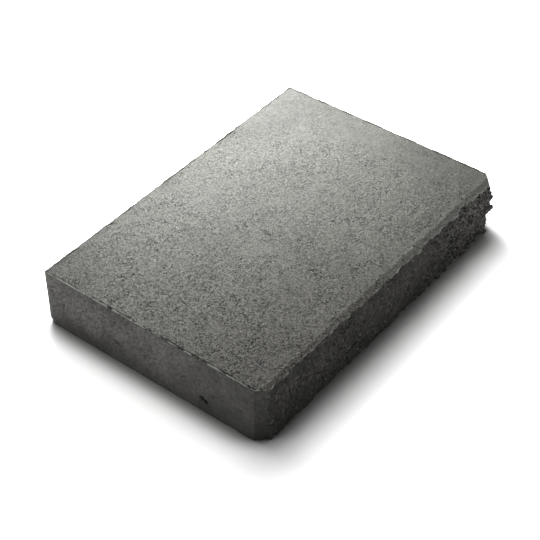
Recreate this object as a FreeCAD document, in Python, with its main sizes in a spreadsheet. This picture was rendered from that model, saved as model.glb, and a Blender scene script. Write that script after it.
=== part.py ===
"""Wall coping stone: one slab of cast concrete with one long face split rough.

Row frame, in millimetres: the origin is the centre of the bounding box on the
underside, +X runs along the length, +Y points away from the split face to the
smooth back, and +Z is up.

The slab is moulded together with a twin. A shallow V groove across the top and
a V notch down each end mark where the pair is split. The cast blank reaches a
little past the split line, and the fracture surface parts it.
"""
import FreeCAD
import Part
import Sketcher
import math
import os

# Driving sizes: alias, value in millimetres, meaning.
SIZES = [
    ("length", 350.0, "overall length along X"),
    ("width", 240.0, "split line to smooth back, along Y"),
    ("thickness", 60.0, "overall height"),
    ("notch", 10.0, "depth of the V notch down each end"),
    ("groove_half", 8.5, "half width of the V groove across the top"),
    ("groove_drop", 3.6, "depth of the V groove at its root"),
    ("groove_lead", 2.0, "distance of the groove's root in front of the split line"),
    ("allowance", 16.0, "cast material past the split line"),
    ("corner_left", 2.0, "radius of the back corner at -X"),
    ("corner_right", 3.5, "radius of the back corner at +X"),
    ("proud", 4.5, "farthest the fracture stands in front of the split line"),
    ("lean_run", 150.0, "length at the -X end over which the fracture leans back"),
    ("swell_long", 170.0, "wavelength of the slow swell along the fracture"),
    ("swell_mid", 67.0, "wavelength of the middle waves along the fracture"),
    ("swell_short", 31.0, "wavelength of the short waves along the fracture"),
    ("swell_up", 41.0, "wavelength of the waves up the fracture"),
    ("knuckle_inset", 20.0, "full height of the fracture's knuckle, from the +X end"),
    ("knuckle_run", 45.0, "length over which the knuckle fades into the face"),
    ("knuckle_height", 37.0, "middle of the knuckle above the underside"),
    ("knuckle_half", 15.0, "half height of the knuckle"),
    ("toe_inset", 88.0, "small toe at the fracture's foot, from the +X end"),
]

# Spacing of the points that the fracture surface passes through, and how far
# the surface runs past the slab on every side.
GRID_STEP = 6.0
OVERRUN = 12.0


def make_sheet(doc):
    """Spreadsheet with one named size a row."""
    sheet = doc.addObject("Spreadsheet::Sheet", "sizes")
    for row, (alias, value, note) in enumerate(SIZES, start=1):
        sheet.set("A%d" % row, alias)
        sheet.set("B%d" % row, str(value))
        sheet.set("C%d" % row, note)
        sheet.setAlias("B%d" % row, alias)
    doc.recompute()
    return sheet


def origin_plane(body, role):
    """One of the body's own origin planes, found by its role."""
    for feature in body.Origin.OriginFeatures:
        if feature.Role == role:
            return feature
    raise RuntimeError("the body has no " + role)


def plane_sketch(body, label, role):
    """Empty sketch flat on one of the body's origin planes."""
    sketch = body.newObject("Sketcher::SketchObject", label)
    sketch.AttachmentSupport = [(origin_plane(body, role), "")]
    sketch.MapMode = "FlatFace"
    return sketch


def draw_outline(sketch, corners):
    """Closed chain of lines through named corners.

    Each corner is (name, x, x formula, y, y formula). Both distances from the
    sketch's own origin are bound to the sheet by their formulas.
    """
    count = len(corners)
    for index, corner in enumerate(corners):
        following = corners[(index + 1) % count]
        start = FreeCAD.Vector(corner[1], corner[3], 0)
        end = FreeCAD.Vector(following[1], following[3], 0)
        sketch.addGeometry(Part.LineSegment(start, end), False)
    for index in range(count):
        joint = Sketcher.Constraint("Coincident", index, 2, (index + 1) % count, 1)
        sketch.addConstraint(joint)
    for index, (name, x, x_formula, y, y_formula) in enumerate(corners):
        bind_distance(sketch, index, "DistanceX", name + "_x", x, x_formula)
        bind_distance(sketch, index, "DistanceY", name + "_y", y, y_formula)


def bind_distance(sketch, line, kind, name, value, formula):
    """Distance from the sketch origin to a line's start, bound to the sheet."""
    number = sketch.addConstraint(Sketcher.Constraint(kind, -1, 1, line, 1, value))
    sketch.renameConstraint(number, name)
    sketch.setExpression("Constraints." + name, formula)


def blank_corners(sheet):
    """Plan outline of the cast blank, with a V notch in each end."""
    half = sheet.length / 2
    back = (sheet.width + sheet.proud) / 2
    root = back - sheet.width
    tip = half - sheet.notch
    front = root - sheet.allowance
    half_f = "sizes.length / 2"
    back_f = "(sizes.width + sizes.proud) / 2"
    root_f = "(sizes.proud - sizes.width) / 2"
    tip_f = "sizes.length / 2 - sizes.notch"
    front_f = root_f + " - sizes.allowance"
    inner_f = root_f + " + sizes.notch"
    outer_f = root_f + " - sizes.notch"
    right = [
        ("back_right", half, half_f, back, back_f),
        ("inner_right", half, half_f, root + sheet.notch, inner_f),
        ("tip_right", tip, tip_f, root, root_f),
        ("outer_right", half, half_f, root - sheet.notch, outer_f),
        ("front_right", half, half_f, front, front_f),
    ]
    left = []
    for name, x, x_formula, y, y_formula in reversed(right):
        left_name = name.replace("right", "left")
        left.append((left_name, -x, "-(" + x_formula + ")", y, y_formula))
    return right + left


def groove_corners(sheet):
    """End view of the V groove: sketch X is the row's Y, sketch Y its Z."""
    root = (sheet.proud - sheet.width) / 2 - sheet.groove_lead
    low = sheet.thickness - sheet.groove_drop
    above = sheet.thickness + sheet.groove_drop
    reach = 2 * sheet.groove_half
    root_f = "(sizes.proud - sizes.width) / 2 - sizes.groove_lead"
    low_f = "sizes.thickness - sizes.groove_drop"
    above_f = "sizes.thickness + sizes.groove_drop"
    reach_f = "2 * sizes.groove_half"
    return [
        ("root", root, root_f, low, low_f),
        ("behind", root + reach, root_f + " + " + reach_f, above, above_f),
        ("ahead", root - reach, root_f + " - " + reach_f, above, above_f),
    ]


def make_blank(doc, sheet):
    """Cast slab with its notches, groove and rounded back corners."""
    body = doc.addObject("PartDesign::Body", "cast_blank")
    plan = plane_sketch(body, "plan", "XY_Plane")
    draw_outline(plan, blank_corners(sheet))
    pad = body.newObject("PartDesign::Pad", "slab")
    pad.Profile = plan
    pad.setExpression("Length", "sizes.thickness")
    doc.recompute()

    section = plane_sketch(body, "groove_section", "YZ_Plane")
    draw_outline(section, groove_corners(sheet))
    groove = body.newObject("PartDesign::Pocket", "top_groove")
    groove.Profile = section
    groove.Type = "ThroughAll"
    groove.Midplane = True
    before = pad.Shape.Volume
    doc.recompute()
    if not groove.Shape.Volume < before:
        raise RuntimeError("the top groove cuts nothing")

    round_corner(doc, body, sheet, groove, "round_left", -1, "sizes.corner_left")
    return round_corner(doc, body, sheet, body.Tip, "round_right", 1, "sizes.corner_right")


def round_corner(doc, body, sheet, base, name, side, formula):
    """Fillet on the upright back edge at one end."""
    x = side * sheet.length / 2
    y = (sheet.width + sheet.proud) / 2
    fillet = body.newObject("PartDesign::Fillet", name)
    fillet.Base = (base, [upright_edge(base.Shape, x, y)])
    fillet.setExpression("Radius", formula)
    doc.recompute()
    return body


def upright_edge(shape, x, y):
    """Name of the vertical edge that stands at (x, y)."""
    for number, edge in enumerate(shape.Edges, start=1):
        ends = [vertex.Point for vertex in edge.Vertexes]
        if len(ends) == 2 and all(abs(p.x - x) + abs(p.y - y) < 1e-4 for p in ends):
            return "Edge%d" % number
    raise RuntimeError("no upright edge at %.1f, %.1f" % (x, y))


def ease(value, start, end):
    """Smooth step from 0 at start to 1 at end."""
    share = min(1.0, max(0.0, (value - start) / (end - start)))
    return share * share * (3 - 2 * share)


def relief(sheet, x, z):
    """Unscaled height of the fracture, larger towards the front.

    The face leans back a little towards the top near the -X end. Its waves are
    faint there and grow towards +X, where a broad knuckle stands out of the
    middle of the face and a small toe out of its foot.
    """
    from_left = x + sheet.length / 2
    from_right = sheet.length / 2 - x
    turn = 2 * math.pi
    up = z / sheet.thickness
    lean = -2.5 * up * (1 - ease(from_left, sheet.lean_run / 2, sheet.lean_run))
    swell = math.sin(turn * x / sheet.swell_long + 1.1 - 1.3 * up)
    middle = math.sin(turn * (x + 0.4 * z) / sheet.swell_mid + 2.4)
    short = math.sin(turn * (x - 0.7 * z) / sheet.swell_short + 0.6)
    cross = math.sin(turn * (z + 0.2 * x) / sheet.swell_up + 0.8)
    gain = 0.3 + 0.7 * ease(from_left, 0.0, sheet.length)
    waves = gain * (0.4 * swell + 0.55 * middle + 0.35 * short + 0.4 * cross)
    beside = 1 - ease(from_right, sheet.knuckle_inset, sheet.knuckle_inset + sheet.knuckle_run)
    upward = (z - sheet.knuckle_height) / sheet.knuckle_half
    knuckle = 4.0 * beside * math.exp(-upward ** 4)
    toe_along = (from_right - sheet.toe_inset) / 12
    toe = 2.6 * math.exp(-toe_along * toe_along - (z / 9) ** 2)
    return lean + waves + knuckle + toe


def stations(start, end, step):
    """Evenly spaced values from start to end, about a step apart."""
    count = max(4, round((end - start) / step))
    return [start + (end - start) * index / count for index in range(count + 1)]


def relief_scale(sheet):
    """Factor that brings the highest point of the fracture to its named size."""
    half = sheet.length / 2
    highest = max(
        relief(sheet, x, z)
        for x in stations(-half, half, 2.0)
        for z in stations(0.0, sheet.thickness, 2.0)
    )
    return sheet.proud / highest


def fracture_face(sheet):
    """Smooth surface through the fracture relief, a little past every edge."""
    half = sheet.length / 2 + OVERRUN
    root = (sheet.proud - sheet.width) / 2
    scale = relief_scale(sheet)
    points = [
        [
            FreeCAD.Vector(x, root - scale * relief(sheet, x, z), z)
            for z in stations(-OVERRUN, sheet.thickness + OVERRUN, GRID_STEP)
        ]
        for x in stations(-half, half, GRID_STEP)
    ]
    surface = Part.BSplineSurface()
    surface.interpolate(points)
    return surface.toShape()


def make_stone(doc, sheet, blank):
    """The blank with everything in front of the fracture taken away."""
    waste = doc.addObject("Part::Feature", "split_waste")
    reach = 3 * sheet.allowance
    waste.Shape = fracture_face(sheet).extrude(FreeCAD.Vector(0, -reach, 0))
    stone = doc.addObject("Part::Cut", "stone")
    stone.Base = blank
    stone.Tool = waste
    doc.recompute()
    stone.Label = "coping_stone"
    stone.Placement = FreeCAD.Placement()
    doc.recompute()
    return stone


def check(doc, stone):
    """Stop on any failed object, or on a stone that isn't one sound solid."""
    for item in doc.Objects:
        if "Invalid" in item.State or "Error" in item.State:
            raise RuntimeError("failed object: " + item.Label)
    shape = stone.Shape
    if shape.isNull() or not shape.isValid() or len(shape.Solids) != 1:
        raise RuntimeError("the stone isn't one valid solid")


def main():
    doc = FreeCAD.newDocument("wall_coping")
    sheet = make_sheet(doc)
    blank = make_blank(doc, sheet)
    stone = make_stone(doc, sheet, blank)
    check(doc, stone)
    os.makedirs("parts", exist_ok=True)
    stone.Shape.exportStep(os.path.join("parts", stone.Label + ".step"))
    box = stone.Shape.optimalBoundingBox()
    print("coping_stone: %.2f x %.2f x %.2f mm" % (box.XLength, box.YLength, box.ZLength))
    print("front %.2f, back %.2f, volume %.0f mm3" % (box.YMin, box.YMax, stone.Shape.Volume))


main()
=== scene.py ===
"""Wall coping stone in cast concrete: visual model, floor, lamps and camera."""

import math

import bpy
import numpy as np
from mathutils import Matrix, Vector


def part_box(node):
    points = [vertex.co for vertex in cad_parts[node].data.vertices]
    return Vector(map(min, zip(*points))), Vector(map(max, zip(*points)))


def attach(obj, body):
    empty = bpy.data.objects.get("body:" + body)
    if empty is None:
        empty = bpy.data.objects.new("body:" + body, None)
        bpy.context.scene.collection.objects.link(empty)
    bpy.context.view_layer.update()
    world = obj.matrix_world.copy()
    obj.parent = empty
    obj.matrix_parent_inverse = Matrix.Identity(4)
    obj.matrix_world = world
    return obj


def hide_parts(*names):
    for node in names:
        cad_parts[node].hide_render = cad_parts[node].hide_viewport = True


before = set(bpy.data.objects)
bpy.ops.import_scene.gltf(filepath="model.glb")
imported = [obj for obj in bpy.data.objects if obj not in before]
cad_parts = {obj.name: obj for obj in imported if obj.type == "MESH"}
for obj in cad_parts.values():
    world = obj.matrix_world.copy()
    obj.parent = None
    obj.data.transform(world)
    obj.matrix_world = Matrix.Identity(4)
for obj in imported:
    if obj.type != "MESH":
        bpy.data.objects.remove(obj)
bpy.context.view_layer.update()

MM = 0.001

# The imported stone, in millimetres. The split line is the bottom of the V
# notches, this far behind the fracture's highest point.
LOW, HIGH = [np.array(corner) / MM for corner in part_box("coping_stone")]
HALF = float(HIGH[0])
BACK = float(HIGH[1])
TOP = float(HIGH[2])
PROUD = 4.5
SPLIT = float(LOW[1]) + PROUD

# The notches' depth, and the groove's half width, depth and lead, which is how
# far its root lies in front of the split line. The groove leaves the cast top
# at the brow, over a soft turn.
NOTCH = 10.0
GROOVE_HALF = 8.0
GROOVE_DROP = 3.6
GROOVE_LEAD = 2.0
BROW_SOFT = 1.2
BROW = SPLIT - GROOVE_LEAD + GROOVE_HALF + 0.5 * BROW_SOFT

# Radii of the upright back edges.
RADIUS_LEFT = 2.0
RADIUS_RIGHT = 3.5

# Rounding at the root of the groove and of the notches, in square millimetres.
GROOVE_ROOT = 0.6
NOTCH_ROOT = 0.3

# The cast top lies this far under the crest of the fin round its edge.
SINK = 0.5

# Edges of the skin that turn by more degrees than this look sharp.
SHARP_ANGLE = 38.0

# Diffuse layers that the camera sees in the floor, one on another, the grey of
# each, and the plain grey of the floor for all other rays.
FLOOR_LAYERS = 5
FLOOR_GREY = (0.855, 0.855, 0.855)
FLOOR_PLAIN = (0.8, 0.8, 0.8)

# Half the floor's side, in metres, and its gap under the stone.
FLOOR_REACH = 8.0
FLOOR_GAP = 0.2

# Strength of the grey fill from all round.
WORLD_FILL = 0.02

# Reach of the floor's painted contact shadow beside the stone, and its deepest colour.
CONTACT = 28.0
CONTACT_SHADOW_GREY = (0.15, 0.15, 0.146)

# Colours of the cement paste: on the cast top, painted shade on its front left
# corner, on the moulded sides and on the broken face.
TOP_PASTE = (0.327, 0.332, 0.301)
TOP_PAINTED_SHADE = (0.187, 0.182, 0.159)
SIDE_PASTE = (0.262, 0.255, 0.241)
SPLIT_PASTE = (0.190, 0.184, 0.173)


# ---------------------------------------------------------------- noise

def hashed(cells, seed):
    """Repeatable numbers from 0 to 1 for whole-number cells of shape (n, 3).

    The large numbers only stir the bits.
    """
    cells = cells.astype(np.int64)
    mixed = cells[:, 0] * 73856093 ^ cells[:, 1] * 19349663 ^ cells[:, 2] * 83492791
    mixed = (mixed ^ (seed * 2654435761)) & 0xFFFFFFFF
    mixed = ((mixed ^ (mixed >> 15)) * 2246822519) & 0xFFFFFFFF
    mixed = ((mixed ^ (mixed >> 13)) * 3266489917) & 0xFFFFFFFF
    mixed = mixed ^ (mixed >> 16)
    return mixed / 4294967295.0


def noise(points, size, seed):
    """Smooth value noise from -1 to 1 with features about size across."""
    place = points / size
    cell = np.floor(place)
    part = place - cell
    part = part * part * part * (part * (part * 6 - 15) + 10)
    total = np.zeros(len(points))
    for corner in range(8):
        step = np.array([corner & 1, corner >> 1 & 1, corner >> 2 & 1])
        weight = np.prod(np.where(step == 1, part, 1 - part), axis=1)
        total += weight * hashed(cell + step, seed)
    return total * 2 - 1


def layered(points, size, seed, layers=3, gain=0.5):
    """Sum of noises, each half the size of the last."""
    total = np.zeros(len(points))
    strength = 1.0
    for layer in range(layers):
        total += strength * noise(points, size / 2 ** layer, seed + 17 * layer)
        strength *= gain
    return total


def grains(points, size, seed, share=1.0):
    """Rounded bumps from 0 to 1 on scattered centres, one to a cell.

    Only this share of the cells holds a bump.
    """
    place = points / size
    nearest = np.floor(place - 0.5)
    height = np.zeros(len(points))
    for corner in range(8):
        there = nearest + np.array([corner & 1, corner >> 1 & 1, corner >> 2 & 1])
        centre = np.stack([hashed(there, seed + n) for n in range(3)], axis=1)
        centre = there + 0.2 + 0.6 * centre
        radius = 0.32 + 0.3 * hashed(there, seed + 3)
        present = hashed(there, seed + 4) < share
        span = np.linalg.norm(place - centre, axis=1) / radius
        bump = np.sqrt(np.clip(1 - span * span, 0, 1)) * (radius / 0.62)
        height = np.maximum(height, np.where(present, bump, 0))
    return height


def ease(value, start, end):
    """Smooth step from 0 at start to 1 at end."""
    share = np.clip((value - start) / (end - start), 0, 1)
    return share * share * (3 - 2 * share)


# ---------------------------------------------------------------- surfaces

def broad_relief(x, z):
    """The fracture's slow shape, as the construction model has it."""
    from_left = x + HALF
    from_right = HALF - x
    turn = 2 * math.pi
    up = z / TOP
    lean = -2.5 * up * (1 - ease(from_left, 75.0, 150.0))
    swell = np.sin(turn * x / 170.0 + 1.1 - 1.3 * up)
    middle = np.sin(turn * (x + 0.4 * z) / 67.0 + 2.4)
    short = np.sin(turn * (x - 0.7 * z) / 31.0 + 0.6)
    cross = np.sin(turn * (z + 0.2 * x) / 41.0 + 0.8)
    gain = 0.3 + 0.7 * ease(from_left, 0.0, 2 * HALF)
    waves = gain * (0.4 * swell + 0.55 * middle + 0.35 * short + 0.4 * cross)
    beside = 1 - ease(from_right, 20.0, 65.0)
    knuckle = 4.0 * beside * np.exp(-((z - 37.0) / 15.0) ** 4)
    toe = 2.6 * np.exp(-((from_right - 88.0) / 12.0) ** 2 - (z / 9) ** 2)
    return lean + waves + knuckle + toe


def fracture(x, z):
    """Y of the broken face: its slow shape with torn grain and stones on it."""
    points = np.stack([x, np.zeros_like(x), z], axis=1)
    ragged = ease(x, 0.2 * HALF, 0.85 * HALF)
    gain = 0.85 + 0.4 * ragged
    torn = 0.62 * layered(points, 12.0, seed=11, layers=3, gain=0.65)
    steps = (0.4 + 0.6 * ragged) * np.tanh(3.0 * noise(points, 6.0, seed=19))
    teeth = (0.2 + 0.5 * ragged) * np.tanh(2.5 * noise(points, 3.4, seed=27))
    stones = 0.75 * grains(points, 6.0, seed=23, share=0.5)
    stones = stones - 0.8 * grains(points, 6.8, seed=31, share=0.45)
    sand = 0.7 * grains(points, 2.6, seed=41, share=0.6)
    sand = sand - 0.6 * grains(points, 2.9, seed=43, share=0.5)

    # The lip has bites out of it, and stands back at the right front corner.
    corner = (1 - ease(HALF - x, 7.0, 18.0)) * ease(z, 45.0, 54.0)
    bites = 0.8 * noise(points, 6.5, seed=151) + 0.95 * noise(points, 2.3, seed=153)
    bites *= (0.5 + 0.7 * ragged) * ease(z, 48.0, 55.0)
    grain = gain * (torn + stones + sand) + steps + teeth + bites
    height = 0.78 * broad_relief(x, z) + grain - 0.2 - 1.5 * corner
    return SPLIT - np.minimum(height, PROUD - 0.1)


def groove_z(y):
    """Height of the V groove, with a soft brow where it leaves the cast top."""
    off = np.sqrt((y - SPLIT + GROOVE_LEAD) ** 2 + GROOVE_ROOT)
    inside = GROOVE_HALF - off
    inside = 0.5 * (inside + np.sqrt(inside ** 2 + BROW_SOFT ** 2))
    return TOP - SINK - GROOVE_DROP / GROOVE_HALF * inside


def flank_x(y, side):
    """X of the notch flank at one end: side is -1 or 1."""
    off = np.sqrt((y - SPLIT) ** 2 + NOTCH_ROOT)
    return side * (HALF - NOTCH + off)


def solve(gap, start, end, rounds=30):
    """Where gap turns from negative at start to positive at end."""
    start = np.array(start, float)
    end = np.array(end, float)
    for _ in range(rounds):
        middle = (start + end) / 2
        below = gap(middle) < 0
        start = np.where(below, middle, start)
        end = np.where(below, end, middle)
    return (start + end) / 2


def lip_z(x):
    """Height where the fracture meets the groove."""
    def gap(z):
        return z - groove_z(fracture(x, z))
    return solve(gap, np.full_like(x, TOP - 9), np.full_like(x, TOP + 2))


def flank_meet(z, side):
    """X where the fracture meets the notch flank."""
    def gap(x):
        return side * (x - flank_x(fracture(x, z), side))
    inner = np.full_like(z, side * (HALF - NOTCH - 8))
    outer = np.full_like(z, side * (HALF + 1.0))
    return solve(gap, inner, outer)


def lip_corner(side):
    """Point shared by the fracture, the groove and a notch flank."""
    x = np.array([side * (HALF - NOTCH)])
    z = np.array([TOP - GROOVE_DROP])
    for _ in range(12):
        z = 0.5 * z + 0.5 * lip_z(x)
        x = 0.5 * x + 0.5 * flank_meet(z, side)
    return x[0], z[0]


# ---------------------------------------------------------------- mesh

class Shell:
    """Vertices and faces of one closed skin, built patch by patch."""

    def __init__(self):
        self.points = []
        self.shades = []
        self.count = 0
        self.faces = []
        self.skins = []

    def add(self, points, shade=0.0):
        """Store points and return their numbers.

        The shade, from -1 to 1, is painted shade below 0 and painted highlight above 0: it makes
        the concrete darker or paler there.
        """
        points = np.asarray(points, float)
        start = self.count
        self.points.append(points)
        self.shades.append(np.zeros(len(points)) + shade)
        self.count += len(points)
        return np.arange(start, self.count)

    def at(self, numbers):
        """Positions of the numbered points."""
        return np.concatenate(self.points)[np.asarray(numbers)]

    def face(self, corners, skin):
        self.faces.append(tuple(int(c) for c in corners))
        self.skins.append(skin)

    def zip_up(self, outer, outer_at, inner, inner_at, skin):
        """Band of triangles between two lines, each with its own stations."""
        i = 0
        j = 0
        while i < len(outer) - 1 or j < len(inner) - 1:
            next_outer = outer_at[i + 1] if i < len(outer) - 1 else math.inf
            next_inner = inner_at[j + 1] if j < len(inner) - 1 else math.inf
            if next_outer <= next_inner:
                self.face((outer[i], outer[i + 1], inner[j]), skin)
                i += 1
            else:
                self.face((outer[i], inner[j + 1], inner[j]), skin)
                j += 1

    def band(self, lower, upper, skin):
        """Quads between two lines with the same number of points."""
        for a, b, c, d in zip(lower[:-1], lower[1:], upper[1:], upper[:-1]):
            self.face((a, b, c, d), skin)

    def patch(self, sides, across, up, place, skin):
        """Grid inside four boundary lines, zipped to them all round.

        sides are the bottom and top lines from left to right and the left and
        right lines from bottom to top, as point numbers. across and up are the
        inner stations, from 0 to 1. place(u, v, blend) gives the inner points,
        where blend is the Coons blend of the boundary positions.
        """
        bottom, top, left, right = sides
        everything = np.concatenate(self.points)
        lines = [everything[line] for line in (bottom, top, left, right)]
        at = [stations_of(line) for line in lines]
        u, v = np.meshgrid(across, up)
        u = u.ravel()
        v = v.ravel()
        blend = coons(lines, at, u, v)
        inner = self.add(place(u, v, blend)).reshape(len(up), len(across))
        for row in range(len(up) - 1):
            self.band(inner[row], inner[row + 1], skin)
        self.zip_up(bottom, at[0], inner[0], across, skin)
        self.zip_up(right, at[3], inner[:, -1], up, skin)
        self.zip_up(top[::-1], 1 - at[1][::-1], inner[-1][::-1], 1 - across[::-1], skin)
        self.zip_up(left[::-1], 1 - at[2][::-1], inner[:, 0][::-1], 1 - up[::-1], skin)
        return inner


def stations_of(line):
    """Distance along a line of points, from 0 to 1."""
    steps = np.linalg.norm(np.diff(line, axis=0), axis=1)
    along = np.concatenate([[0.0], np.cumsum(steps)])
    return along / along[-1]


def along_line(line, at, where):
    """Positions on a line at stations from 0 to 1."""
    return np.stack([np.interp(where, at, line[:, axis]) for axis in range(3)], axis=1)


def coons(lines, at, u, v):
    """Blend of four boundary lines over a patch."""
    bottom, top, left, right = lines
    low_line = along_line(bottom, at[0], u)
    high_line = along_line(top, at[1], u)
    left_line = along_line(left, at[2], v)
    right_line = along_line(right, at[3], v)
    u = u[:, None]
    v = v[:, None]
    ruled = (1 - v) * low_line + v * high_line + (1 - u) * left_line + u * right_line
    corners = (1 - u) * (1 - v) * bottom[0] + u * (1 - v) * bottom[-1]
    corners = corners + (1 - u) * v * top[0] + u * v * top[-1]
    return ruled - corners


def spaced(length, step):
    """Inner stations from 0 to 1, about step apart on a line this long."""
    count = max(2, round(length / step))
    return np.arange(1, count) / count


def joined(*lines):
    """One line of point numbers from several that share their end points."""
    whole = list(lines[0])
    for line in lines[1:]:
        whole.extend(line[1:])
    return np.array(whole)


# ---------------------------------------------------------------- outline

# Skins of the stone, in material order.
CAST_TOP, CAST_SIDE, SPLIT_FACE = range(3)

# The rim, from the wall up over the casting fin, down the crack inside it and
# out onto the cast top: distance in from the wall, height, how far that height
# falls where the fin is broken off or the crack is closed, and shade, which is a
# painted highlight over the fin and a painted shadow in the crack.
RIM = [
    (0.0, TOP - 1.5, 0.0, 0.2),
    (0.1, TOP - 0.25, 0.35, 0.8),
    (0.35, TOP - 0.02, 0.45, 1.0),
    (1.05, TOP - 0.12, 0.38, 0.9),
    (1.4, TOP - SINK - 0.9, -0.8, -1.0),
    (2.2, TOP - SINK - 0.35, -0.3, -1.0),
    (2.8, TOP - SINK, 0.0, -0.9),
    (3.5, TOP - SINK, 0.0, 0.0),
]

# The casting fin on each edge: how much of it stands and how open its crack is,
# each at the back and at the front, and how far the rim's painted highlight and
# shadow show. A share below 0 turns all of it into painted shade.
FINS = {
    "right": ((0.35, 0.35), (0.35, 0.35), -0.2),
    "back": ((-0.2, -0.2), (-0.6, -0.6), 0.0),
    "left": ((0.45, 0.85), (0.05, 0.80), 1.0),
}

FIN_SEED = 61
CRACK_SEED = 67

# Parts of the lines that the patches meet on.
RING_PARTS = {"flank": 5, "end": 165, "arc": 6, "back": 250}
LIP_PARTS = 344
FOOT_PARTS = 329
RISE_PARTS = 57
BROW_PARTS = 300
BEVEL_END_PARTS = 7
FLANK_FOOT_PARTS = 10

# Steps of the patches, in millimetres. The walls run from the right end round
# the back to the left end, and each has a step along its foot and on its face.
FRACTURE_STEP = 0.945
BEVEL_STEP = 0.97
TOP_STEP = 1.3
FLANK_STEP = 1.2
FLANK_RISE = 1.3
UNDER_STEP = 7.1
WALL_RISE = 1.6
WALL_STEPS = [(4.0, 2.2), (0.8, 0.9), (5.0, 2.6), (0.8, 0.6), (3.0, 1.6)]

# Height that the rows of a wall are shared out over.
WALL_HEIGHT = TOP - 2.0


def ring_line(inset):
    """Outline from the front right, round the back, to the front left."""
    diagonal = inset * (math.sqrt(2) - 1)
    front = BROW
    start = HALF - NOTCH + BROW - SPLIT - inset * math.sqrt(2)
    knee = SPLIT + NOTCH + diagonal
    pieces = []
    for side, radius in ((1, RADIUS_RIGHT), (-1, RADIUS_LEFT)):
        wall = side * (HALF - inset)
        flank = straight((side * start, front), (wall, knee), RING_PARTS["flank"])
        end = straight((wall, knee), (wall, BACK - radius), RING_PARTS["end"])
        turn = np.linspace(0, math.pi / 2, RING_PARTS["arc"] + 1)
        reach = max(radius - inset, 0.05)
        arc_x = side * (HALF - radius + reach * np.cos(turn))
        arc_y = BACK - radius + reach * np.sin(turn)
        pieces.append([flank, end, np.column_stack([arc_x, arc_y])])
    right, left = pieces
    back = straight(right[2][-1], left[2][-1], RING_PARTS["back"])
    # The wear stays off the outermost line, so that the back face is flat.
    back[:, 1] -= back_wear(back[:, 0]) * min(inset / RIM[1][0], 1)
    return right + [back] + [piece[::-1] for piece in left[::-1]]


def back_wear(x):
    """How far the back edge is worn in along its length, nothing at its ends."""
    points = np.stack([x, np.zeros_like(x), np.zeros_like(x)], axis=1)
    worn = 0.25 * (1 + layered(points, 8.0, seed=131, layers=3, gain=0.85))
    chips = 2.0 * np.clip(noise(points, 3.4, seed=137) - 0.2, 0, 1)
    return np.clip(worn + chips, 0, 1.6) * ease(HALF - np.abs(x), RADIUS_RIGHT, RADIUS_RIGHT + 6)


def straight(start, end, count):
    """Evenly spaced points on a line, both ends included."""
    share = np.linspace(0, 1, count + 1)[:, None]
    return np.array(start)[None, :] * (1 - share) + np.array(end)[None, :] * share


def fin_strength(line, seed, base):
    """How much of the fin, or of the crack, is left at each point, 0 to 1."""
    points = np.stack([line[:, 0], line[:, 1], np.zeros(len(line))], axis=1)
    strength = base + 1.2 * layered(points, 13.0, seed, layers=4, gain=0.8)
    return np.clip(strength, 0.03, 1)


def add_ring(shell, inset, height, fall, shade):
    """One line of the rim as seven pieces that share their end points."""
    pieces = ring_line(inset)
    numbers = []
    last = None
    for index, piece in enumerate(pieces):
        edge = "right" if index < 3 else "back" if index == 3 else "left"
        stands, opened, share = FINS[edge]
        behind, before = stands if fall >= 0 else opened
        base = behind + (before - behind) * ease(piece[:, 1], BACK, SPLIT)
        whole = fin_strength(piece, FIN_SEED if fall >= 0 else CRACK_SEED, base)
        z = height - fall * (1 - whole)
        points = np.column_stack([piece, z])
        painted_light = share * (shade if share > 0 else abs(shade)) * whole
        if last is None:
            line = shell.add(points, painted_light)
        else:
            line = np.concatenate([[last], shell.add(points[1:], painted_light[1:])])
        numbers.append(line)
        last = line[-1]
    return numbers


def add_between(shell, first, last, points):
    """A line between two points that exist already."""
    return np.concatenate([[first], shell.add(points[1:-1]), [last]])


def upright(shell, foot, head, step):
    """Straight wall line from a floor point up to a rim point."""
    start = shell.at([foot])[0]
    end = shell.at([head])[0]
    count = max(2, round((end[2] - start[2]) / step))
    return add_between(shell, foot, head, straight(start, end, count))


def add_rim(shell):
    """The rim's lines, from the wall in to the cast top, joined by quads."""
    rings = [add_ring(shell, *line) for line in RIM]
    for outer, inner in zip(rings[:-1], rings[1:]):
        for outer_piece, inner_piece in zip(outer, inner):
            shell.band(outer_piece, inner_piece, CAST_TOP)
    return rings


def add_fracture(shell):
    """The broken face. Returns its foot, lip, left rise and right rise."""
    left_x, left_z = lip_corner(-1)
    right_x, right_z = lip_corner(1)
    x = np.linspace(left_x, right_x, LIP_PARTS + 1)
    z = lip_z(x)
    z[0] = left_z
    z[-1] = right_z
    lip = np.column_stack([x, fracture(x, z), z])
    # Painted highlight along the lip, stronger towards the right.
    glint = noise(lip, 3.0, seed=141) - 0.3 + 0.6 * ease(x, -0.5 * HALF, 0.7 * HALF)
    lip = shell.add(lip, np.clip(2.6 * glint, 0, 1))

    rises = []
    for side, head in ((-1, lip[0]), (1, lip[-1])):
        z = np.linspace(0, shell.at([head])[0][2], RISE_PARTS + 1)
        x = flank_meet(z, side)
        points = np.column_stack([x, fracture(x, z), z])
        rises.append(np.concatenate([shell.add(points[:-1]), [head]]))
    rise_l, rise_r = rises

    left, right = shell.at([rise_l[0], rise_r[0]])
    x = np.linspace(left[0], right[0], FOOT_PARTS + 1)
    z = np.zeros_like(x)
    points = np.column_stack([x, fracture(x, z), z])
    foot = add_between(shell, rise_l[0], rise_r[0], points)

    def on_fracture(u, v, blend):
        x, z = blend[:, 0], blend[:, 2]
        return np.column_stack([x, fracture(x, z), z])
    across = spaced(2 * (HALF - NOTCH), FRACTURE_STEP)
    up = spaced(TOP - GROOVE_DROP, FRACTURE_STEP)
    shell.patch((foot, lip, rise_l, rise_r), across, up, on_fracture, SPLIT_FACE)
    return foot, lip, rise_l, rise_r


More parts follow.
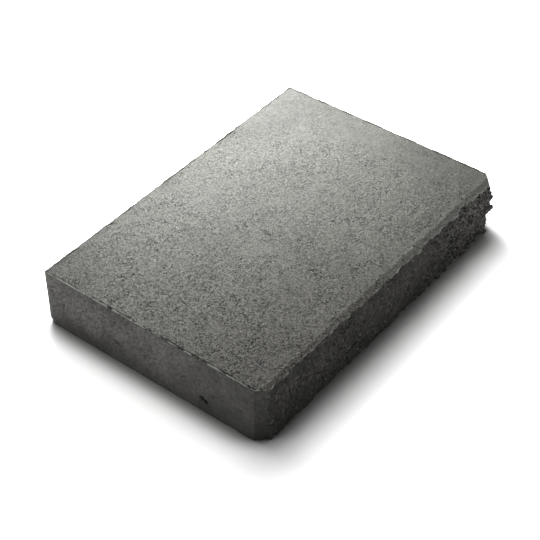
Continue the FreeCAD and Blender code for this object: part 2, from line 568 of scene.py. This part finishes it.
def add_bevel(shell, rings, lip):
    """What is left of the groove between the lip and the cast top.

    Returns the front line of the cast top and the bevel's left and right ends.
    """
    ends_l = np.array([ring[6][-1] for ring in rings])
    ends_r = np.array([ring[0][0] for ring in rings])
    start, end = shell.at([ends_l[-1], ends_r[-1]])
    front = add_between(shell, ends_l[-1], ends_r[-1], straight(start, end, BROW_PARTS))
    brow = np.concatenate([ends_l[:-1], front, ends_r[::-1][1:]])
    sides = []
    for side, foot_point, head in ((-1, lip[0], brow[0]), (1, lip[-1], brow[-1])):
        y = np.linspace(shell.at([foot_point])[0][1], BROW, BEVEL_END_PARTS + 1)
        points = np.column_stack([flank_x(y, side), y, groove_z(y)])
        sides.append(add_between(shell, foot_point, head, points))

    def on_bevel(u, v, blend):
        x, y = blend[:, 0], blend[:, 1]
        return np.column_stack([x, y, groove_z(y)])
    across = spaced(2 * (HALF - NOTCH), BEVEL_STEP)
    up = spaced(GROOVE_HALF - GROOVE_LEAD, BEVEL_STEP)
    shell.patch((lip, brow, *sides), across, up, on_bevel, CAST_TOP)
    return front, sides


def add_cast_top(shell, rings, front):
    """The flat top inside the rim."""
    side_r = joined(*rings[-1][:3])
    side_l = joined(*rings[-1][4:])[::-1]
    far = rings[-1][3][::-1]
    across = spaced(2 * (HALF - RADIUS_LEFT), TOP_STEP)
    up = spaced(BACK - BROW, TOP_STEP)
    shell.patch((front, far, side_l, side_r), across, up, flat, CAST_TOP)


def add_walls(shell, heads):
    """Ends, rounded corners and back, under these pieces of the rim.

    Returns the upright lines at their corners and the floor lines between them.
    """
    corners = [line[0] for line in heads] + [heads[-1][-1]]
    feet = [shell.add(shell.at([c]) * np.array([1, 1, 0]))[0] for c in corners]
    posts = [upright(shell, foot, head, WALL_RISE) for foot, head in zip(feet, corners)]
    floor_lines = []
    for index, (line, (step, _)) in enumerate(zip(heads, WALL_STEPS)):
        points = shell.at(line) * np.array([1, 1, 0])
        if index in (0, 2, 4):
            length = np.linalg.norm(points[-1] - points[0])
            points = straight(points[0], points[-1], round(length / step))
        floor_lines.append(add_between(shell, feet[index], feet[index + 1], points))
    for index, (line, (_, step)) in enumerate(zip(heads, WALL_STEPS)):
        length = np.linalg.norm(np.diff(shell.at(line), axis=0), axis=1).sum()
        sides = (floor_lines[index], line, posts[index], posts[index + 1])
        up = spaced(WALL_HEIGHT, max(step, WALL_RISE))
        shell.patch(sides, spaced(length, step), up, flat, CAST_SIDE)
    return posts, floor_lines


def add_flank(shell, side, rise, post, top):
    """One notch flank, between the fracture's rise and a wall's post.

    side is -1 or 1, and top runs the same way as the new foot line, which is
    returned.
    """
    inner = shell.at([rise[0]])[0][1]
    y = np.linspace(inner, SPLIT + NOTCH, FLANK_FOOT_PARTS + 1)
    ends = (rise, post)
    if side < 0:
        y = np.linspace(SPLIT + NOTCH, inner, FLANK_FOOT_PARTS + 1)
        ends = (post, rise)
    points = np.column_stack([flank_x(y, side), y, np.zeros_like(y)])
    foot = add_between(shell, ends[0][0], ends[1][0], points)

    def on_flank(u, v, blend):
        y = blend[:, 1]
        return np.column_stack([flank_x(y, side), y, blend[:, 2]])
    across = spaced(math.sqrt(2) * NOTCH, FLANK_STEP)
    up = spaced(WALL_HEIGHT, FLANK_RISE)
    shell.patch((foot, top, *ends), across, up, on_flank, CAST_SIDE)
    return foot


def add_underside(shell, front, floor_lines, flank_feet):
    """The plain flat bed."""
    left = joined(floor_lines[3], floor_lines[4], flank_feet[0])
    right = joined(flank_feet[1], floor_lines[0], floor_lines[1])[::-1]
    back = floor_lines[2][::-1]
    across = spaced(2 * HALF, UNDER_STEP)
    up = spaced(BACK - SPLIT, UNDER_STEP)
    shell.patch((back, front, left, right), across, up, flat, CAST_SIDE)


def build_shell():
    """The whole skin of the stone, before its cast faces get their texture."""
    shell = Shell()
    rings = add_rim(shell)
    foot, lip, rise_l, rise_r = add_fracture(shell)
    front, bevel_ends = add_bevel(shell, rings, lip)
    add_cast_top(shell, rings, front)
    flank_r, *heads, flank_l = rings[0]
    posts, floor_lines = add_walls(shell, heads)
    top_r = joined(bevel_ends[1], flank_r)
    flank_foot_r = add_flank(shell, 1, rise_r, posts[0], top_r)
    top_l = joined(flank_l, bevel_ends[0][::-1])
    flank_foot_l = add_flank(shell, -1, rise_l, posts[-1], top_l)
    add_underside(shell, foot, floor_lines, (flank_foot_l, flank_foot_r))
    return shell


def flat(u, v, blend):
    """Inner points straight from the boundary blend."""
    return blend


# ---------------------------------------------------------------- texture of the cast faces

# Air holes and dents in the left end: place along Y, height, half width, half
# height, depth.
END_HOLES = [
    (-53.0, 14.8, 2.5, 2.6, 2.6),
    (-57.0, 12.8, 2.5, 2.5, 2.6),
    (-65.1, 24.5, 2.0, 1.6, 0.8),
    (-93.0, 27.0, 4.5, 1.4, 0.5),
    (102.9, 29.8, 1.3, 1.7, 1.2),
    (40.4, 22.5, 5.5, 2.2, 0.5),
    (72.0, 33.0, 2.2, 1.5, 0.5),
    (20.0, 30.0, 2.5, 1.2, 0.4),
]


# Chips off the left end's edges: place, reach and depth.
CHIPS = [
    (-HALF, BACK, 1.0, 5.0, 1.5),
    (-HALF, SPLIT + NOTCH, 0.0, 6.0, 1.0),
    (-HALF, SPLIT + NOTCH + 24, 0.0, 6.0, 0.8),
    (-HALF + 7, SPLIT + 3, 0.0, 5.0, 1.2),
]


def smooth_skin(points):
    """1 where cement paste has closed the cast top, 0 where it is gritty."""
    far_end = points[:, 0] + 0.25 * points[:, 1] + 16 * layered(points, 40.0, seed=101)
    far_end = ease(far_end, HALF - 75, HALF - 10)
    clouds = ease(layered(points, 42.0, seed=103, gain=0.6), 0.25, 0.75)
    bevel = 0.2 * ease(BROW + 2 - points[:, 1], 0, 4)
    return np.clip(np.maximum(0.85 * far_end, bevel) + 0.5 * clouds, 0, 1)


def end_holes(points):
    """Depth of the air holes in the left end at each point."""
    depth = np.zeros(len(points))
    on_end = points[:, 0] < 0.5 - HALF
    for y, z, half_width, half_height, deep in END_HOLES:
        across = (points[:, 1] - y) / half_width
        upward = (points[:, 2] - z - 0.25 * (points[:, 1] - y)) / half_height
        span = across ** 2 + upward ** 2
        depth = np.maximum(depth, np.where(on_end, deep * ease(1 - span, 0, 0.7), 0))
    return depth


def chipped(points):
    """Depth of the chips at each point."""
    depth = np.zeros(len(points))
    for x, y, z, reach, deep in CHIPS:
        span = np.linalg.norm(points - np.array([x, y, z]), axis=1) / reach
        depth = np.maximum(depth, deep * ease(1 - span, 0, 0.6))
    return depth


def cast_texture(points, normals):
    """How far each point of a cast face lies under its plane, and its painted shade or
    highlight.
    """
    facing_up = np.clip(normals[:, 2], 0, 1) ** 2
    slow = 0.10 + 0.10 * layered(points, 55.0, seed=71, layers=2)

    rough = 1 - 0.8 * smooth_skin(points)
    crowded = 0.45 + 0.55 * ease(layered(points, 26.0, seed=109, layers=2), -0.3, 0.45)
    grit = 0.10 * (1 + layered(points, 3.0, seed=73, layers=2))
    pits = 0.5 * grains(points, 4.4, seed=79, share=0.12)
    pits = crowded * (pits + 0.45 * grains(points, 2.9, seed=97, share=0.3))
    sand = 0.2 * grains(points, 3.1, seed=83, share=0.5)
    top = rough * (grit + pits - sand + 0.25)

    holes = end_holes(points)
    dents = 0.5 * grains(points, 14.0, seed=89, share=0.10)
    side = 0.06 * (1 + layered(points, 4.0, seed=75, layers=2)) + dents
    side = side + holes + chipped(points)
    depth = slow + facing_up * top + (1 - facing_up) * side

    # Painted shade in the pits and holes, and a painted highlight on the left end
    # beside the rounded back corner.
    shade = -facing_up * rough * np.clip(0.9 * pits - 0.08, 0, 0.38) - np.clip(holes, 0, 1)
    corner = (points[:, 0] < 1 - HALF) * ease(points[:, 1], BACK - 5, BACK - 2)
    return depth, shade + 0.35 * corner * (1 - facing_up)


def textured(points, normals, loose):
    """Cast faces pressed in along their normals; loose points are left alone."""
    depth, shade = cast_texture(points, normals)
    moved = points - normals * np.where(loose, 0, depth)[:, None]
    floor = points[:, 2] < 0.01
    moved[floor, 2] = 0
    return np.clip(moved, LOW, HIGH), np.where(loose, 0, shade)


def add_stone():
    """Mesh object for the stone, in metres."""
    shell = build_shell()
    points = np.concatenate(shell.points)
    skins = np.array(shell.skins)
    mesh = bpy.data.meshes.new("coping_stone_skin")
    mesh.from_pydata(points * MM, [], shell.faces)
    mesh.update()
    normals = np.empty(len(points) * 3)
    mesh.vertex_normals.foreach_get("vector", normals)
    normals = normals.reshape(-1, 3)
    loose = np.zeros(len(points), bool)
    for corners, skin in zip(shell.faces, shell.skins):
        if skin == SPLIT_FACE:
            loose[list(corners)] = True
    loose |= points[:, 2] > TOP - SINK + 0.05
    moved, shade = textured(points, normals, loose)
    mesh.vertices.foreach_set("co", (moved * MM).ravel())
    mesh.polygons.foreach_set("material_index", skins)
    painted_light = mesh.attributes.new("painted_light", "FLOAT", "POINT")
    shade = np.clip(shade + np.concatenate(shell.shades), -1, 1)
    painted_light.data.foreach_set("value", shade.astype(np.float32))
    mesh.shade_smooth()
    mesh.set_sharp_from_angle(angle=math.radians(SHARP_ANGLE))
    mesh.update()
    stone = bpy.data.objects.new("coping_stone_cast", mesh)
    bpy.context.scene.collection.objects.link(stone)
    triangles = sum(len(p.vertices) - 2 for p in mesh.polygons)
    print("coping stone triangles:", triangles)
    return stone


# ---------------------------------------------------------------- materials

class Nodes:
    """Short way to lay out a material's nodes."""

    def __init__(self, name):
        self.material = bpy.data.materials.new(name)
        self.material.use_nodes = True
        self.tree = self.material.node_tree
        self.shader = self.tree.nodes["Principled BSDF"]
        self.output = self.tree.nodes["Material Output"]
        self.place = self.tree.nodes.new("ShaderNodeTexCoord").outputs["Object"]

    def link(self, source, target):
        self.tree.links.new(source, target)

    def noise(self, size_mm, detail=3.0, roughness=0.55, distortion=0.0):
        """Noise with features about this many millimetres across."""
        node = self.tree.nodes.new("ShaderNodeTexNoise")
        node.inputs["Scale"].default_value = 1000.0 / size_mm
        node.inputs["Detail"].default_value = detail
        node.inputs["Roughness"].default_value = roughness
        node.inputs["Distortion"].default_value = distortion
        self.link(self.place, node.inputs["Vector"])
        return node.outputs["Fac"]

    def cells(self, size_mm):
        """Voronoi cells about this many millimetres across."""
        node = self.tree.nodes.new("ShaderNodeTexVoronoi")
        node.inputs["Scale"].default_value = 1000.0 / size_mm
        self.link(self.place, node.inputs["Vector"])
        return node

    def ramp(self, source, start, end, low_value=0.0, high_value=1.0):
        """Smooth step of a value between two limits."""
        node = self.tree.nodes.new("ShaderNodeMapRange")
        node.interpolation_type = "SMOOTHSTEP"
        node.inputs["From Min"].default_value = start
        node.inputs["From Max"].default_value = end
        node.inputs["To Min"].default_value = low_value
        node.inputs["To Max"].default_value = high_value
        self.link(source, node.inputs["Value"])
        return node.outputs["Result"]

    def math(self, kind, first, second):
        """Sum, product and so on of two values, each a socket or a number."""
        node = self.tree.nodes.new("ShaderNodeMath")
        node.operation = kind
        for socket, value in zip(node.inputs, (first, second)):
            if isinstance(value, (int, float)):
                socket.default_value = value
            else:
                self.link(value, socket)
        return node.outputs["Value"]

    def mix(self, share, first, second, kind="MIX"):
        """Blend of two colours, each a socket or a triple."""
        node = self.tree.nodes.new("ShaderNodeMix")
        node.data_type = "RGBA"
        node.blend_type = kind
        if isinstance(share, (int, float)):
            node.inputs[0].default_value = share
        else:
            self.link(share, node.inputs[0])
        for socket, value in zip((node.inputs[6], node.inputs[7]), (first, second)):
            if isinstance(value, tuple):
                socket.default_value = (*value, 1)
            else:
                self.link(value, socket)
        return node.outputs[2]

    def scaled_by(self, colour, gain):
        """Colour multiplied by a value."""
        return self.mix(1.0, colour, gain, "MULTIPLY")

    def shaded(self, share, colour, gain):
        """Colour multiplied by a gain, as far as the share says."""
        return self.mix(share, colour, (gain, gain, gain), "MULTIPLY")

    def bump(self, height, strength, depth_mm, under=None):
        """Bump from a height, on top of another bump if there is one."""
        node = self.tree.nodes.new("ShaderNodeBump")
        node.inputs["Strength"].default_value = strength
        node.inputs["Distance"].default_value = depth_mm * MM
        self.link(height, node.inputs["Height"])
        if under is not None:
            self.link(under, node.inputs["Normal"])
        return node.outputs["Normal"]

    def along(self, axis):
        """Position along one axis, in metres."""
        node = self.tree.nodes.new("ShaderNodeSeparateXYZ")
        self.link(self.place, node.inputs["Vector"])
        return node.outputs[axis]

    def across(self, x_share, y_share):
        """Position along a slanting direction on the top, in metres."""
        x = self.math("MULTIPLY", self.along("X"), x_share)
        return self.math("ADD", x, self.math("MULTIPLY", self.along("Y"), y_share))

    def wandering(self, position, size_mm, reach, detail=3.0, roughness=0.55):
        """A position that a noise shifts by half this reach each way."""
        shift = self.math("SUBTRACT", self.noise(size_mm, detail, roughness), 0.5)
        return self.math("ADD", position, self.math("MULTIPLY", shift, reach))

    def spots(self, size_mm, outer, inner, start, end, channel="Red"):
        """Round spots in cells of this size, fading from inner out to outer.

        Only the cells whose random colour passes the start and end limits have
        a spot.
        """
        cells = self.cells(size_mm)
        chance = self.tree.nodes.new("ShaderNodeSeparateColor")
        self.link(cells.outputs["Color"], chance.inputs["Color"])
        shape = self.ramp(cells.outputs["Distance"], outer, inner)
        return self.math("MULTIPLY", shape, self.ramp(chance.outputs[channel], start, end))

    def with_painted_light(self, colour, pale, dark):
        """Colour made paler or darker by the painted highlight and shade stored in the mesh."""
        node = self.tree.nodes.new("ShaderNodeAttribute")
        node.attribute_name = "painted_light"
        painted_light = node.outputs["Fac"]
        colour = self.mix(self.ramp(painted_light, 0.05, 0.9), colour, pale)
        return self.mix(self.ramp(painted_light, -0.05, -0.9), colour, dark)


def scaled(colour, share):
    """A colour made darker or lighter."""
    return tuple(channel * share for channel in colour)


def closed_skin(n, bevel):
    """How far cement paste has closed the cast top: at +X, in patches, on the bevel."""
    corner = n.wandering(n.across(1.0, 0.25), 34.0, 0.120, 4.0, 0.65)
    far_end = n.ramp(corner, (HALF - 75) * MM, (HALF - 5) * MM)
    patches = n.ramp(n.noise(46.0, 3.0, 0.55), 0.52, 0.66)
    closed = n.math("MAXIMUM", far_end, n.math("MULTIPLY", patches, 0.45))
    return n.math("MAXIMUM", closed, n.math("MULTIPLY", bevel, 0.25))


def top_paste(n, closed, bevel):
    """Colour of the cast top's paste: painted light and shade across it and at its corners,
    blotches, and a painted highlight on the brow.
    """
    # Painted light and shade: the paste is painted paler away from the front left corner.
    away = n.wandering(n.across(0.535, 1.0), 60.0, 0.08)
    colour = n.mix(n.ramp(away, -0.204, 0.137), TOP_PAINTED_SHADE, scaled(TOP_PASTE, 1.27))
    # Painted shade towards the back, at the back left corner and at the front right corner.
    colour = n.shaded(n.ramp(n.across(0.6, 1.0), 0.125, 0.175), colour, 0.79)
    colour = n.shaded(n.ramp(n.across(-1.0, 1.0), 0.190, 0.280), colour, 0.74)
    colour = n.shaded(n.ramp(n.across(1.0, -1.0), 0.140, 0.230), colour, 0.83)
    blotch = n.ramp(n.noise(11.0, 3.0, 0.6), 0.36, 0.64)
    colour = n.shaded(n.math("MULTIPLY", blotch, 0.18), colour, 0.6)
    smudge = n.ramp(n.noise(7.0, 3.0, 0.65, 0.4), 0.42, 0.62)
    smudge = n.math("MULTIPLY", smudge, n.math("MULTIPLY", closed, 0.16))
    colour = n.shaded(smudge, colour, 0.5)
    # Paler paste on the bevel, partly its smoother skin and partly painted light against the
    # shade of its forward slope.
    colour = n.shaded(bevel, colour, 1.18)

    # A broken painted highlight where the top turns down into the bevel.
    brow = n.ramp(n.along("Y"), (BROW - 1.4) * MM, (BROW - 0.5) * MM)
    behind = n.ramp(n.along("Y"), (BROW + 1.2) * MM, (BROW + 0.3) * MM)
    brow = n.math("MULTIPLY", brow, behind)
    brow = n.math("MULTIPLY", brow, n.ramp(n.noise(15.0, 3.0, 0.7), 0.42, 0.56))
    return n.shaded(brow, colour, 1.35)


def top_pits(n, gritty):
    """Small worm-like and round pits, crowded in some places."""
    where = n.ramp(n.noise(14.0, 4.0, 0.65), 0.40, 0.62, 0.12, 1.0)
    crawl = n.math("SUBTRACT", n.noise(4.0, 2.0, 0.5, 0.6), 0.5)
    crawl = n.math("ABSOLUTE", crawl, 0.0)
    worm = n.ramp(crawl, 0.045, 0.020)
    worm = n.math("MULTIPLY", worm, n.ramp(n.noise(2.8, 1.0), 0.48, 0.54))
    pits = n.math("MAXIMUM", worm, n.spots(2.7, 0.36, 0.24, 0.74, 0.78))
    return n.math("MULTIPLY", n.math("MULTIPLY", pits, where), gritty)


def cast_top_material():
    """Cast top: sandy paste with small pits, closed towards +X, and painted paler away from the
    front left corner.
    """
    n = Nodes("cast_top")
    bevel = n.ramp(n.along("Y"), (BROW - 1) * MM, (BROW - 5) * MM)
    closed = closed_skin(n, bevel)
    colour = top_paste(n, closed, bevel)

    # Grit stands out more towards the front left, and a little in patches.
    open_skin = n.math("SUBTRACT", 1.0, n.math("MULTIPLY", closed, 0.52))
    crowded = n.ramp(n.noise(26.0, 3.0, 0.6), 0.40, 0.60, 0.80, 1.0)
    gritty = n.math("MULTIPLY", open_skin, crowded)
    forward = n.ramp(n.across(0.9, 0.8), -0.240, 0.080, 1.75, 0.90)
    gritty = n.math("MULTIPLY", gritty, forward)

    sand = n.noise(1.5, 2.0, 0.7)
    light_sand = n.math("MULTIPLY", n.ramp(sand, 0.52, 0.62), gritty)
    dark_sand = n.math("MULTIPLY", n.ramp(sand, 0.48, 0.38), gritty)
    colour = n.shaded(n.math("MULTIPLY", light_sand, 0.54), colour, 2.0)
    colour = n.shaded(n.math("MULTIPLY", dark_sand, 0.66), colour, 0.25)
    pits = top_pits(n, gritty)
    # Painted shade in the small pits.
    colour = n.shaded(n.math("MULTIPLY", pits, 0.78), colour, 0.12)
    chip = n.math("MULTIPLY", n.spots(3.0, 0.36, 0.24, 0.86, 0.90), gritty)
    colour = n.shaded(n.math("MULTIPLY", chip, 0.42), colour, 2.0)
    colour = n.with_painted_light(colour, scaled(TOP_PASTE, 1.5), scaled(TOP_PASTE, 0.12))
    n.link(colour, n.shader.inputs["Base Color"])

    n.link(n.ramp(closed, 0.0, 1.0, 0.66, 0.54), n.shader.inputs["Roughness"])
    normal = n.bump(n.noise(3.4, 3.0, 0.6), 0.4, 0.35)
    normal = n.bump(sand, 0.7, 0.6, normal)
    normal = n.bump(n.math("SUBTRACT", chip, pits), 0.9, 0.8, normal)
    n.link(normal, n.shader.inputs["Normal"])
    return n.material


def cast_side_material():
    """Moulded sides: dense cloudy skin with a few air holes."""
    n = Nodes("cast_side")
    clouds = n.ramp(n.noise(30.0, 4.0, 0.6, 0.5), 0.38, 0.62)
    colour = n.mix(clouds, scaled(SIDE_PASTE, 0.80), scaled(SIDE_PASTE, 1.12))

    # Painted shade: darker towards the foot beside the floor, paler towards the top,
    # and darker towards the front.
    foot = n.wandering(n.along("Z"), 24.0, 0.015)
    colour = n.scaled_by(colour, n.ramp(foot, -0.004, 0.034, 0.55, 1.42))
    colour = n.scaled_by(colour, n.ramp(n.along("Y"), -0.110, -0.010, 0.68, 1.0))

    # Grain: smears, and pale and dark sand that thins out at the foot.
    grainy = n.ramp(n.along("Y"), -0.110, 0.060, 0.60, 1.15)
    grainy = n.math("MULTIPLY", grainy, n.ramp(n.along("Z"), 0.002, 0.030, 0.50, 1.0))
    smear = n.math("MULTIPLY", n.ramp(n.noise(8.0, 4.0, 0.7, 0.8), 0.46, 0.58), grainy)
    colour = n.shaded(n.math("MULTIPLY", smear, 0.45), colour, 0.55)
    fine = n.noise(2.6, 3.0, 0.7)
    light_sand = n.math("MULTIPLY", n.ramp(fine, 0.50, 0.62, 0.0, 0.5), grainy)
    dark_sand = n.math("MULTIPLY", n.ramp(fine, 0.50, 0.38, 0.0, 0.6), grainy)
    colour = n.shaded(light_sand, colour, 1.6)
    colour = n.shaded(dark_sand, colour, 0.40)

    # Crumbs where the notch flank is torn beside the fracture.
    torn = n.wandering(n.along("Y"), 5.0, 0.020, 3.0, 0.7)
    torn = n.ramp(torn, (SPLIT + 5) * MM, (SPLIT - 1) * MM)
    crumbs = n.ramp(n.noise(2.2, 2.0, 0.7), 0.44, 0.56, 0.45, 1.25)
    colour = n.mix(torn, colour, n.scaled_by(colour, crumbs))

    # Painted shade in the air holes.
    hole = n.spots(6.5, 0.24, 0.12, 0.75, 0.80)
    hole = n.math("MULTIPLY", hole, n.ramp(n.noise(22.0, 3.0), 0.44, 0.58, 0.15, 1.0))
    colour = n.shaded(n.math("MULTIPLY", hole, 0.85), colour, 0.18)

    # Painted shade: the back and the right end face the lamps, and are painted darker.
    back = n.ramp(n.along("Y"), (BACK - 1.6) * MM, (BACK - 0.5) * MM)
    colour = n.shaded(back, colour, 0.60)
    right_end = n.ramp(n.along("X"), (HALF - 1.2) * MM, (HALF - 0.4) * MM)
    colour = n.shaded(right_end, colour, 0.75)
    colour = n.with_painted_light(colour, scaled(SIDE_PASTE, 1.8), scaled(SIDE_PASTE, 0.08))
    n.link(colour, n.shader.inputs["Base Color"])

    n.link(n.ramp(clouds, 0.0, 1.0, 0.58, 0.72), n.shader.inputs["Roughness"])
    normal = n.bump(n.noise(5.0, 4.0, 0.6), 0.5, 0.5)
    normal = n.bump(fine, 0.5, 0.2, normal)
    normal = n.bump(n.math("SUBTRACT", 1.0, hole), 0.8, 0.6, normal)
    n.link(normal, n.shader.inputs["Normal"])
    return n.material


def split_material():
    """Fresh fracture: dark torn paste, sand and a few pale broken stones."""
    n = Nodes("split_face")
    clouds = n.ramp(n.noise(30.0, 4.0, 0.6, 0.3), 0.36, 0.64)
    colour = n.mix(clouds, scaled(SPLIT_PASTE, 0.80), scaled(SPLIT_PASTE, 1.15))
    # Painted light and shade: paler towards the right end and the top, darker at the left end
    # and the foot.
    colour = n.scaled_by(colour, n.ramp(n.along("X"), 0.040, 0.165, 0.97, 1.35))
    colour = n.scaled_by(colour, n.ramp(n.along("X"), -0.175, -0.110, 0.82, 1.0))
    colour = n.scaled_by(colour, n.ramp(n.along("Z"), 0.0, 0.045, 0.80, 1.15))

    # Torn grain, in patches on the left and everywhere on the right.
    fine = n.noise(2.4, 3.0, 0.7)
    torn = n.ramp(n.noise(20.0, 3.0, 0.6), 0.42, 0.60, 0.45, 1.0)
    torn = n.math("MAXIMUM", torn, n.ramp(n.along("X"), 0.020, 0.110, 0.0, 1.5))
    light = n.math("MULTIPLY", n.ramp(fine, 0.51, 0.61, 0.0, 0.7), torn)
    dark = n.math("MULTIPLY", n.ramp(fine, 0.49, 0.39, 0.0, 0.85), torn)
    colour = n.shaded(light, colour, 2.2)
    colour = n.shaded(dark, colour, 0.22)

    pale_stone = n.spots(5.5, 0.42, 0.30, 0.88, 0.94)
    dark_stone = n.spots(5.5, 0.42, 0.30, 0.74, 0.84, "Green")
    fleck = n.spots(2.8, 0.36, 0.24, 0.91, 0.94)
    colour = n.mix(n.math("MULTIPLY", pale_stone, 0.6), colour, scaled(SPLIT_PASTE, 2.2))
    colour = n.mix(n.math("MULTIPLY", dark_stone, 0.6), colour, scaled(SPLIT_PASTE, 0.3))
    colour = n.mix(n.math("MULTIPLY", fleck, 0.9), colour, scaled(SPLIT_PASTE, 4.0))
    colour = n.with_painted_light(colour, scaled(SPLIT_PASTE, 3.0), scaled(SPLIT_PASTE, 0.3))
    n.link(colour, n.shader.inputs["Base Color"])

    n.shader.inputs["Roughness"].default_value = 0.85
    normal = n.bump(n.noise(2.6, 4.0, 0.7), 0.9, 1.0)
    normal = n.bump(fine, 0.7, 0.6, normal)
    n.link(normal, n.shader.inputs["Normal"])
    return n.material


def floor_material():
    """Plain white floor that keeps the stone's shadow, with a painted contact shadow beside the
    stone.
    """
    n = Nodes("floor_white")
    n.tree.nodes.remove(n.shader)
    path = n.tree.nodes.new("ShaderNodeLightPath")
    plain = n.tree.nodes.new("ShaderNodeBsdfDiffuse")
    plain.inputs["Color"].default_value = (*FLOOR_PLAIN, 1)
    # Painted contact shadow: darker where the stone hides the floor nearby.
    near = n.tree.nodes.new("ShaderNodeAmbientOcclusion")
    near.samples = 16
    near.inputs["Distance"].default_value = CONTACT * MM
    hidden = n.ramp(near.outputs["AO"], 0.5, 0.97)
    tint = n.mix(hidden, CONTACT_SHADOW_GREY, FLOOR_GREY)
    bright = None
    for _ in range(FLOOR_LAYERS):
        white = n.tree.nodes.new("ShaderNodeBsdfDiffuse")
        n.link(tint, white.inputs["Color"])
        if bright is None:
            bright = white.outputs["BSDF"]
        else:
            both = n.tree.nodes.new("ShaderNodeAddShader")
            n.link(bright, both.inputs[0])
            n.link(white.outputs["BSDF"], both.inputs[1])
            bright = both.outputs["Shader"]
    seen = n.tree.nodes.new("ShaderNodeMixShader")
    n.link(path.outputs["Is Camera Ray"], seen.inputs["Fac"])
    n.link(plain.outputs["BSDF"], seen.inputs[1])
    n.link(bright, seen.inputs[2])
    n.link(seen.outputs["Shader"], n.output.inputs["Surface"])
    return n.material


# ---------------------------------------------------------------- scene

def add_floor():
    """Wide white floor just under the stone, left out of the export."""
    mesh = bpy.data.meshes.new("floor_plane")
    turns = ((-1, -1), (1, -1), (1, 1), (-1, 1))
    corners = [(x * FLOOR_REACH, y * FLOOR_REACH, 0) for x, y in turns]
    mesh.from_pydata(corners, [], [(0, 1, 2, 3)])
    mesh.materials.append(floor_material())
    floor = bpy.data.objects.new("floor_plane", mesh)
    floor.location.z = -FLOOR_GAP * MM
    bpy.context.scene.collection.objects.link(floor)


def add_world(strength):
    """Soft grey fill, with white behind everything the camera sees."""
    world = bpy.data.worlds.new("studio")
    world.use_nodes = True
    tree = world.node_tree
    tree.nodes.clear()
    path = tree.nodes.new("ShaderNodeLightPath")
    fill = tree.nodes.new("ShaderNodeBackground")
    fill.inputs["Color"].default_value = (1, 1, 1, 1)
    fill.inputs["Strength"].default_value = strength
    white = tree.nodes.new("ShaderNodeBackground")
    white.inputs["Color"].default_value = (1, 1, 1, 1)
    white.inputs["Strength"].default_value = 1.0
    seen = tree.nodes.new("ShaderNodeMixShader")
    output = tree.nodes.new("ShaderNodeOutputWorld")
    tree.links.new(path.outputs["Is Camera Ray"], seen.inputs["Fac"])
    tree.links.new(fill.outputs["Background"], seen.inputs[1])
    tree.links.new(white.outputs["Background"], seen.inputs[2])
    tree.links.new(seen.outputs["Shader"], output.inputs["Surface"])
    bpy.context.scene.world = world


# Softboxes: name, distance in metres, bearing, height, side in metres, watts.
LAMPS = [
    ("softbox_back", 1.30, 70.0, 60.0, 1.20, 3.74),
    ("softbox_key", 1.30, 80.0, 60.0, 0.60, 1.26),
    ("softbox_above", 0.36, 40.0, 65.0, 0.25, 0.42),
    ("softbox_near", 0.38, 50.0, 15.0, 0.25, 1.10),
    ("softbox_beside", 0.38, 68.0, 15.0, 0.25, 0.68),
    ("fill_left", 1.30, 160.0, 15.0, 1.20, 2.82),
    ("fill_front", 1.30, 300.0, 15.0, 1.20, 1.50),
]


# The camera: bearing and height in degrees, distance in metres, focal length,
# and the point it looks at, in millimetres.
CAMERA_BEARING = 217.6934
CAMERA_HEIGHT = 42.0602
CAMERA_DISTANCE = 1.316152
CAMERA_LENS = 95.139
CAMERA_TARGET = (-2.302, 9.550, 0.0)


def direction(bearing, height):
    """Unit vector. Bearing turns from +X towards +Y, both are in degrees."""
    turn = math.radians(bearing)
    tilt = math.radians(height)
    level = math.cos(tilt)
    return Vector((math.cos(turn) * level, math.sin(turn) * level, math.sin(tilt)))


def add_softbox(name, distance, bearing, height, size, power):
    """Square lamp aimed at the origin."""
    towards = direction(bearing, height)
    lamp = bpy.data.lights.new(name, "AREA")
    lamp.shape = "SQUARE"
    lamp.size = size
    lamp.energy = power
    box = bpy.data.objects.new(name, lamp)
    box.location = towards * distance
    box.rotation_euler = (-towards).to_track_quat("-Z", "Y").to_euler()
    box.visible_camera = False
    bpy.context.scene.collection.objects.link(box)


def add_camera():
    """Camera in front of the left end, looking down at the stone."""
    away = direction(CAMERA_BEARING, CAMERA_HEIGHT)
    camera = bpy.data.cameras.new("camera")
    camera.sensor_width = 36.0
    camera.lens = CAMERA_LENS
    camera.clip_start = 0.01
    eye = bpy.data.objects.new("camera", camera)
    eye.location = Vector(CAMERA_TARGET) * MM + away * CAMERA_DISTANCE
    eye.rotation_euler = (-away).to_track_quat("-Z", "Y").to_euler()
    bpy.context.scene.collection.objects.link(eye)
    bpy.context.scene.camera = eye


stone = add_stone()
for material in (cast_top_material(), cast_side_material(), split_material()):
    stone.data.materials.append(material)
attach(stone, "root")
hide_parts("coping_stone")

add_floor()
add_world(WORLD_FILL)
for lamp in LAMPS:
    add_softbox(*lamp)
add_camera()
bpy.context.scene.view_settings.view_transform = "Standard"
